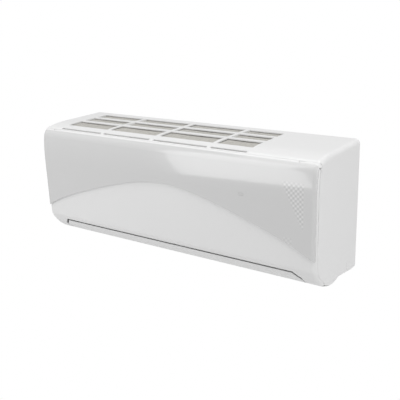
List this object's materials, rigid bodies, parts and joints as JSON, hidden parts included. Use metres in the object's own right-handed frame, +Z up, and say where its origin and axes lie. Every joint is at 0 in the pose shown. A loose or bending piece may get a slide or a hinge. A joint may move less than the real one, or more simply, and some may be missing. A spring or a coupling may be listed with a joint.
{
  "type": "mini split indoor unit",
  "caption": "Wall-hung air conditioner indoor unit with top intake grille, hinged arched front panel, tilting bottom louver, swinging air vanes and cross-flow fan inside.",
  "frame": {"origin": "centre of the wall plate's back face, between its four screw holes", "axes": "+X to the right as seen from the room, +Y into the wall, +Z up"},
  "size_m": [0.715, 0.196, 0.28],
  "materials": {
    "white_shell": "fine satin, warm white",
    "gloss_fascia": "glossy white with a soft grey lattice",
    "smoked_lens": "smoked clear",
    "white_inner": "plain moulded",
    "vane_white": "plain moulded",
    "filter_grey": "moulded",
    "mesh_grey": "woven net",
    "fan_grey": "moulded",
    "steel": "turned",
    "galvanised": "zinc coated",
    "fins": "thin fins",
    "copper": "drawn copper tube",
    "brass_fitting": "turned",
    "black_rubber": "moulded",
    "black_plastic": "moulded",
    "motor_grey": "plain",
    "box_grey": "flame-proof moulding",
    "board_green": "lacquered",
    "button_grey": "moulded"
  },
  "bodies": {
    "cabinet": {"bulkhead_left": "white_inner", "bulkhead_right": "white_inner", "casing_end_left": "white_shell", "casing_end_right": "white_shell", "casing_screws": "steel", "casing_top": "white_shell", "control_board": "board_green", "drain_pan": "white_inner", "drain_plug": "black_rubber", "electrical_box": "box_grey", "electrical_cover": "box_grey", "evaporator_end_plates": "galvanised", "evaporator_front_lower": "fins", "evaporator_front_upper": "fins", "evaporator_rear": "fins", "evaporator_return_bends": "copper", "fan_bearing": "black_rubber", "fan_motor": "motor_grey", "filter_frame_left": "filter_grey", "filter_frame_right": "filter_grey", "filter_guides": "white_inner", "filter_mesh_left": "mesh_grey", "filter_mesh_right": "mesh_grey", "flare_unions": "brass_fitting", "front_air_guide": "white_inner", "front_rail": "white_inner", "liquid_pipe": "copper", "louver_motor": "motor_grey", "motor_clamp": "white_inner", "motor_clamp_screws": "steel", "outlet_end_walls": "white_inner", "pipe_clamp": "black_plastic", "rear_air_guide": "white_inner", "rear_chassis": "white_inner", "suction_pipe": "copper", "terminal_block": "black_plastic", "terminal_screws": "steel", "vane_carriers": "white_inner", "wall_plate": "galvanised"},
    "front_panel": {"front_panel": "white_shell", "panel_fascia": "gloss_fascia", "indicator_lens": "smoked_lens", "display_board": "box_grey"},
    "louver": {"louver": "white_shell"},
    "fan": {"cross_flow_fan": "fan_grey", "fan_shaft": "steel", "motor_shaft": "steel"},
    "emergency_button": {"emergency_button": "button_grey"},
    "link_bar_left": {"link_bar_left": "white_inner"},
    "link_bar_right": {"link_bar_right": "white_inner"},
    "vane_left_1": {"vane_left_1": "vane_white"},
    "vane_left_2": {"vane_left_2": "vane_white"},
    "vane_left_3": {"vane_left_3": "vane_white"},
    "vane_left_4": {"vane_left_4": "vane_white"},
    "vane_left_5": {"vane_left_5": "vane_white"},
    "vane_right_1": {"vane_right_1": "vane_white"},
    "vane_right_2": {"vane_right_2": "vane_white"},
    "vane_right_3": {"vane_right_3": "vane_white"},
    "vane_right_4": {"vane_right_4": "vane_white"},
    "vane_right_5": {"vane_right_5": "vane_white"}
  },
  "joints": [
    {"name": "panel_hinge", "type": "hinge", "parent": "cabinet", "child": "front_panel", "pos_m": [0, -0.17941, 0.12723], "axis": [-1, 0, 0], "range_deg": [0, 65]},
    {"name": "louver_hinge", "type": "hinge", "parent": "cabinet", "child": "louver", "pos_m": [0, -0.139, -0.108], "axis": [1, 0, 0], "range_deg": [0, 75]},
    {"name": "fan_spin", "type": "hinge", "parent": "cabinet", "child": "fan", "pos_m": [0, -0.094, 0.008], "axis": [1, 0, 0], "continuous": true},
    {"name": "button_press", "type": "slide", "parent": "cabinet", "child": "emergency_button", "axis": [0, 1, 0], "range_m": [0, 0.0015], "stiffness_N_per_m": 600},
    {"name": "link_left_slide", "type": "slide", "parent": "cabinet", "child": "link_bar_left", "axis": [-1, 0, 0], "range_m": [-0.01377, 0.01377]},
    {"name": "vane_left_1_hinge", "type": "hinge", "parent": "cabinet", "child": "vane_left_1", "pos_m": [-0.272, -0.08427, -0.10504], "axis": [0, -0.7193, 0.6947], "range_deg": [-35.2, 35.2]},
    {"name": "vane_left_2_hinge", "type": "hinge", "parent": "cabinet", "child": "vane_left_2", "pos_m": [-0.22, -0.08427, -0.10504], "axis": [0, -0.7193, 0.6947], "range_deg": [-35.2, 35.2]},
    {"name": "vane_left_3_hinge", "type": "hinge", "parent": "cabinet", "child": "vane_left_3", "pos_m": [-0.168, -0.08427, -0.10504], "axis": [0, -0.7193, 0.6947], "range_deg": [-35.2, 35.2]},
    {"name": "vane_left_4_hinge", "type": "hinge", "parent": "cabinet", "child": "vane_left_4", "pos_m": [-0.116, -0.08427, -0.10504], "axis": [0, -0.7193, 0.6947], "range_deg": [-35.2, 35.2]},
    {"name": "vane_left_5_hinge", "type": "hinge", "parent": "cabinet", "child": "vane_left_5", "pos_m": [-0.064, -0.08427, -0.10504], "axis": [0, -0.7193, 0.6947], "range_deg": [-35.2, 35.2]},
    {"name": "link_right_slide", "type": "slide", "parent": "cabinet", "child": "link_bar_right", "axis": [-1, 0, 0], "range_m": [-0.01377, 0.01377]},
    {"name": "vane_right_1_hinge", "type": "hinge", "parent": "cabinet", "child": "vane_right_1", "pos_m": [-0.001, -0.08427, -0.10504], "axis": [0, -0.7193, 0.6947], "range_deg": [-35.2, 35.2]},
    {"name": "vane_right_2_hinge", "type": "hinge", "parent": "cabinet", "child": "vane_right_2", "pos_m": [0.051, -0.08427, -0.10504], "axis": [0, -0.7193, 0.6947], "range_deg": [-35.2, 35.2]},
    {"name": "vane_right_3_hinge", "type": "hinge", "parent": "cabinet", "child": "vane_right_3", "pos_m": [0.103, -0.08427, -0.10504], "axis": [0, -0.7193, 0.6947], "range_deg": [-35.2, 35.2]},
    {"name": "vane_right_4_hinge", "type": "hinge", "parent": "cabinet", "child": "vane_right_4", "pos_m": [0.155, -0.08427, -0.10504], "axis": [0, -0.7193, 0.6947], "range_deg": [-35.2, 35.2]},
    {"name": "vane_right_5_hinge", "type": "hinge", "parent": "cabinet", "child": "vane_right_5", "pos_m": [0.207, -0.08427, -0.10504], "axis": [0, -0.7193, 0.6947], "range_deg": [-35.2, 35.2]}
  ],
  "couplings": [
    {"joint": "vane_left_1_hinge", "follows": "link_left_slide", "rad_per_m": 44.376},
    {"joint": "vane_left_2_hinge", "follows": "link_left_slide", "rad_per_m": 44.376},
    {"joint": "vane_left_3_hinge", "follows": "link_left_slide", "rad_per_m": 44.376},
    {"joint": "vane_left_4_hinge", "follows": "link_left_slide", "rad_per_m": 44.376},
    {"joint": "vane_left_5_hinge", "follows": "link_left_slide", "rad_per_m": 44.376},
    {"joint": "vane_right_1_hinge", "follows": "link_right_slide", "rad_per_m": 44.376},
    {"joint": "vane_right_2_hinge", "follows": "link_right_slide", "rad_per_m": 44.376},
    {"joint": "vane_right_3_hinge", "follows": "link_right_slide", "rad_per_m": 44.376},
    {"joint": "vane_right_4_hinge", "follows": "link_right_slide", "rad_per_m": 44.376},
    {"joint": "vane_right_5_hinge", "follows": "link_right_slide", "rad_per_m": 44.376}
  ]
}
